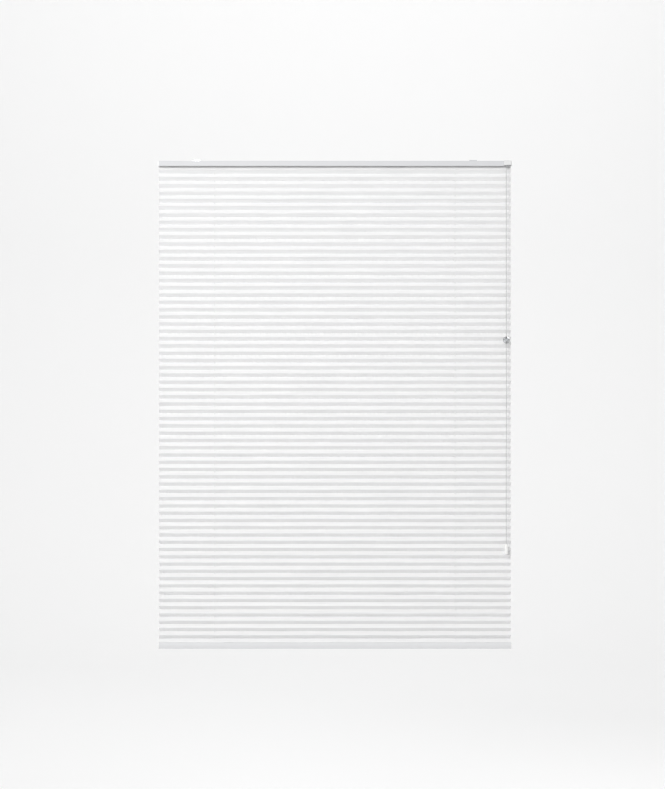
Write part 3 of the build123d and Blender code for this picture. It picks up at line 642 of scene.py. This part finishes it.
CLOTH_WHITE = (0.9, 0.9, 0.9)
STREAK_WHITE = (0.8, 0.8, 0.805)
THREAD_WAVES = 320
SLUB_STRETCH = (9, 700, 1)  # long across the cloth, thin along it


def cloth_finish():
    """Woven polyester: fine crossing threads, and thicker weft yarns that show as faint streaks."""
    finish = start_finish("pleated_polyester", CLOTH_WHITE, 0.85)
    material, made, links, shader = finish
    shader.inputs["Sheen Weight"].default_value = 0.15
    shader.inputs["Sheen Roughness"].default_value = 0.5
    flat = made.new("ShaderNodeUVMap")
    flat.uv_map = "Cloth"
    threads = []
    for direction in ("X", "Y"):
        thread = made.new("ShaderNodeTexWave")
        thread.bands_direction = direction
        thread.inputs["Scale"].default_value = THREAD_WAVES
        thread.inputs["Distortion"].default_value = 0.6
        links.new(flat.outputs["UV"], thread.inputs["Vector"])
        threads.append(thread.outputs["Fac"])
    woven = both_of(finish, *threads)
    stretched = made.new("ShaderNodeMapping")
    stretched.inputs["Scale"].default_value = SLUB_STRETCH
    links.new(flat.outputs["UV"], stretched.inputs["Vector"])
    slubs = made.new("ShaderNodeTexNoise")
    slubs.inputs["Scale"].default_value = 1.0
    slubs.inputs["Detail"].default_value = 3.0
    links.new(stretched.outputs["Vector"], slubs.inputs["Vector"])
    spread = made.new("ShaderNodeMapRange")
    spread.inputs["From Min"].default_value = 0.3
    spread.inputs["From Max"].default_value = 0.6
    links.new(slubs.outputs["Fac"], spread.inputs["Value"])
    two_tone(finish, spread.outputs["Result"], STREAK_WHITE, CLOTH_WHITE)
    weave = in_relief(finish, woven, 0.00005, 0.5)
    in_relief(finish, slubs.outputs["Fac"], 0.0001, 0.5, over=weave)
    return material


cloth.data.materials.append(cloth_finish())
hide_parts("pleated_fabric")
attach(cloth, "headrail_assembly")
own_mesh(cloth)

# ---------------------------------------------------------------- rails
# Both rails are extruded aluminium with a satin white powder coat, which dries with a very fine
# orange peel.  The headrail's coat is darker: painted shade for a window top that isn't built.


MOTTLE_WAVES = 40.0
GLOSS_SPREAD = 0.06


def grained_finish(name, colour, roughness, grain, depth, mottle):
    """A fine grain in relief, and colour and gloss that are faintly uneven further apart."""
    finish = start_finish(name, colour, roughness)
    material, made, links, shader = finish
    place = made.new("ShaderNodeTexCoord")
    fine = made.new("ShaderNodeTexNoise")
    fine.inputs["Scale"].default_value = 1 / grain
    fine.inputs["Detail"].default_value = 4.0
    links.new(place.outputs["Object"], fine.inputs["Vector"])
    in_relief(finish, fine.outputs["Fac"], depth)
    broad = made.new("ShaderNodeTexNoise")
    broad.inputs["Scale"].default_value = MOTTLE_WAVES
    broad.inputs["Detail"].default_value = 3.0
    links.new(place.outputs["Object"], broad.inputs["Vector"])
    two_tone(finish, broad.outputs["Fac"], dimmed(colour, 1 - mottle), colour)
    gloss = made.new("ShaderNodeMapRange")
    gloss.inputs["To Min"].default_value = roughness - GLOSS_SPREAD
    gloss.inputs["To Max"].default_value = roughness + GLOSS_SPREAD
    links.new(broad.outputs["Fac"], gloss.inputs["Value"])
    links.new(gloss.outputs["Result"], shader.inputs["Roughness"])
    return material


def coat(material, *names):
    """Gives pieces that come from the frame their finish."""
    for name in names:
        for place in nodes[name].material_slots:
            place.material = material


POWDER_COAT = {"roughness": 0.5, "grain": 0.0006, "depth": 0.00003, "mottle": 0.04}

# The headrail has the same white coat, painted darker as painted shade.
coat(grained_finish("headrail_coat_painted_shade", (0.61, 0.615, 0.63), **POWDER_COAT), "headrail")
coat(grained_finish("bottom_rail_coat", (0.72, 0.725, 0.735), **POWDER_COAT), "bottom_rail")

# ---------------------------------------------------------------- end caps
# Moulded white plugs pushed into the rails' ends, with a thin flange that finishes each end
# flush.

coat(
    grained_finish(
        "cap_plastic", (0.87, 0.87, 0.86), roughness=0.45, grain=0.0004, depth=0.00002, mottle=0.03
    ),
    "headrail_end_cap_left",
    "headrail_end_cap_right",
    "bottom_rail_end_cap_left",
    "bottom_rail_end_cap_right",
)

# ---------------------------------------------------------------- strips
# Extruded plastic strips that carry the cloth's end facets and slide into the rails from one end.

coat(
    grained_finish(
        "strip_plastic", (0.82, 0.82, 0.8), roughness=0.55, grain=0.0008, depth=0.00002, mottle=0.04
    ),
    "headrail_fabric_strip",
    "bottom_fabric_strip",
)

# ---------------------------------------------------------------- brackets
# Zinc-plated pressed steel under the soffit, each with a nylon latch that turns on a steel rivet.


def plated_finish(name, colour, roughness, spangle):
    """Bright zinc on rolled steel: small patches that each catch the light a little differently."""
    finish = start_finish(name, colour, roughness)
    material, made, links, shader = finish
    shader.inputs["Metallic"].default_value = 1.0
    place = made.new("ShaderNodeTexCoord")
    patches = made.new("ShaderNodeTexVoronoi")
    patches.inputs["Scale"].default_value = 1 / spangle
    links.new(place.outputs["Object"], patches.inputs["Vector"])
    two_tone(finish, patches.outputs["Distance"], dimmed(colour, 0.8), colour)
    in_relief(finish, patches.outputs["Distance"], 0.00001)
    return material


coat(
    plated_finish("zinc_plate", (0.62, 0.63, 0.65), roughness=0.35, spangle=0.002),
    "mounting_bracket_left",
    "mounting_bracket_right",
    "bracket_rivet_left",
    "bracket_rivet_right",
)
coat(
    grained_finish(
        "latch_nylon", (0.8, 0.8, 0.77), roughness=0.5, grain=0.0005, depth=0.00003, mottle=0.05
    ),
    "bracket_latch_left",
    "bracket_latch_right",
)

# ---------------------------------------------------------------- cord guides
# Nylon cradles pushed into the headrail's floor, each with an acetal pulley that turns on a drawn
# steel pin.  The eyelets in the bottom rail are of the same nylon.

coat(
    grained_finish(
        "guide_nylon", (0.82, 0.82, 0.8), roughness=0.5, grain=0.0005, depth=0.00002, mottle=0.04
    ),
    "cord_guide_left",
    "cord_guide_right",
    "bottom_eyelet_left",
    "bottom_eyelet_right",
)
coat(
    grained_finish(
        "pulley_acetal", (0.85, 0.85, 0.83), roughness=0.3, grain=0.0006, depth=0.00001, mottle=0.03
    ),
    "guide_pulley_left",
    "guide_pulley_right",
)


DRAWN_LINES = (80, 4000, 4000)  # close together, and long along the pin


def drawn_finish(name, colour, roughness):
    """Steel drawn through a die, with fine lines along it."""
    finish = start_finish(name, colour, roughness)
    material, made, links, shader = finish
    shader.inputs["Metallic"].default_value = 1.0
    place = made.new("ShaderNodeTexCoord")
    stretched = made.new("ShaderNodeMapping")
    stretched.inputs["Scale"].default_value = DRAWN_LINES
    links.new(place.outputs["Object"], stretched.inputs["Vector"])
    lines_drawn = made.new("ShaderNodeTexNoise")
    lines_drawn.inputs["Scale"].default_value = 1.0
    links.new(stretched.outputs["Vector"], lines_drawn.inputs["Vector"])
    two_tone(finish, lines_drawn.outputs["Fac"], dimmed(colour, 0.78), colour)
    return material


coat(
    drawn_finish("drawn_steel", (0.66, 0.66, 0.68), roughness=0.28),
    "guide_pin_left",
    "guide_pin_right",
    "cord_lock_pins",
    "cord_lock_roller",
)

# ---------------------------------------------------------------- cord lock
# A glossy white moulding.  Its hood stands in front of the headrail's right end, over the mouth
# that the cords leave by.  Inside it a steel roller turns the cords down and a dark toothed pawl
# pinches them.  Its near-black colour is also painted shade, for the shadow in the mouth.

coat(
    grained_finish(
        "lock_plastic", (0.74, 0.74, 0.74), roughness=0.25, grain=0.0007, depth=0.00001, mottle=0.03
    ),
    "cord_lock_housing",
)
# Near-black nylon, which also serves as painted shade for the shadow in the lock's mouth.
coat(
    grained_finish(
        "pawl_nylon_and_mouth_shade", (0.1, 0.1, 0.105), roughness=0.45, grain=0.0005, depth=0.00003, mottle=0.1
    ),
    "cord_lock_pawl",
)

# ---------------------------------------------------------------- lift cords in the headrail
# The stretch of each lift cord that lies along the headrail, over its pulley and round the lock's
# post.  It is the same polyester braid.

STRANDS_A_METRE = 2200
LAID_CORD_WHITE = (0.82, 0.82, 0.81)
PAINTED_SHADE_BETWEEN_STRANDS = (0.66, 0.66, 0.65)


def laid_cord_finish():
    """Braid with its strands in relief, and painted shade between them."""
    finish = start_finish("laid_cord", LAID_CORD_WHITE, 0.7)
    material, made, links, shader = finish
    place = made.new("ShaderNodeTexCoord")
    strands = made.new("ShaderNodeTexVoronoi")
    strands.inputs["Scale"].default_value = STRANDS_A_METRE
    links.new(place.outputs["Object"], strands.inputs["Vector"])
    in_relief(finish, strands.outputs["Distance"], CORD_RELIEF)
    # Painted shade between the strands.
    two_tone(finish, strands.outputs["Distance"], LAID_CORD_WHITE, PAINTED_SHADE_BETWEEN_STRANDS)
    return material


coat(laid_cord_finish(), "lift_cord_run_left", "lift_cord_run_right")

# ---------------------------------------------------------------- connector
# A clear ball in two halves that snap together, so that the pull cord comes apart if anything
# catches in it.  Both are moulded polycarbonate, 1.3 mm thick, polished outside.

CLEAR = (0.95, 0.96, 0.97)
PAINTED_DARK_RIM = (0.3, 0.31, 0.32)
POLYCARBONATE_IOR = 1.58


def clear_finish():
    """Clear plastic with faint flow lines, and a painted dark rim where one looks along the wall.
    """
    finish = start_finish("clear_polycarbonate", CLEAR, 0.05)
    material, made, links, shader = finish
    shader.inputs["Transmission Weight"].default_value = 1.0
    shader.inputs["IOR"].default_value = POLYCARBONATE_IOR
    slant = made.new("ShaderNodeLayerWeight")
    slant.inputs["Blend"].default_value = 0.35
    # Painted dark rim: darker as the surface turns away from the eye.
    two_tone(finish, slant.outputs["Facing"], CLEAR, PAINTED_DARK_RIM)
    place = made.new("ShaderNodeTexCoord")
    flow = made.new("ShaderNodeTexNoise")
    flow.inputs["Scale"].default_value = 260
    flow.inputs["Detail"].default_value = 2.0
    links.new(place.outputs["Object"], flow.inputs["Vector"])
    in_relief(finish, flow.outputs["Fac"], 0.00004)
    return material


coat(clear_finish(), "connector_upper_half", "connector_lower_half")

# ---------------------------------------------------------------- tassel
# A small white bell of moulded plastic, bored for the cord and hollow at the foot, where the knot
# sits.

coat(
    grained_finish(
        "tassel_plastic",
        (0.87, 0.87, 0.86),
        roughness=0.25,
        grain=0.0009,
        depth=0.00001,
        mottle=0.03,
    ),
    "tassel",
)

low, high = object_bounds()
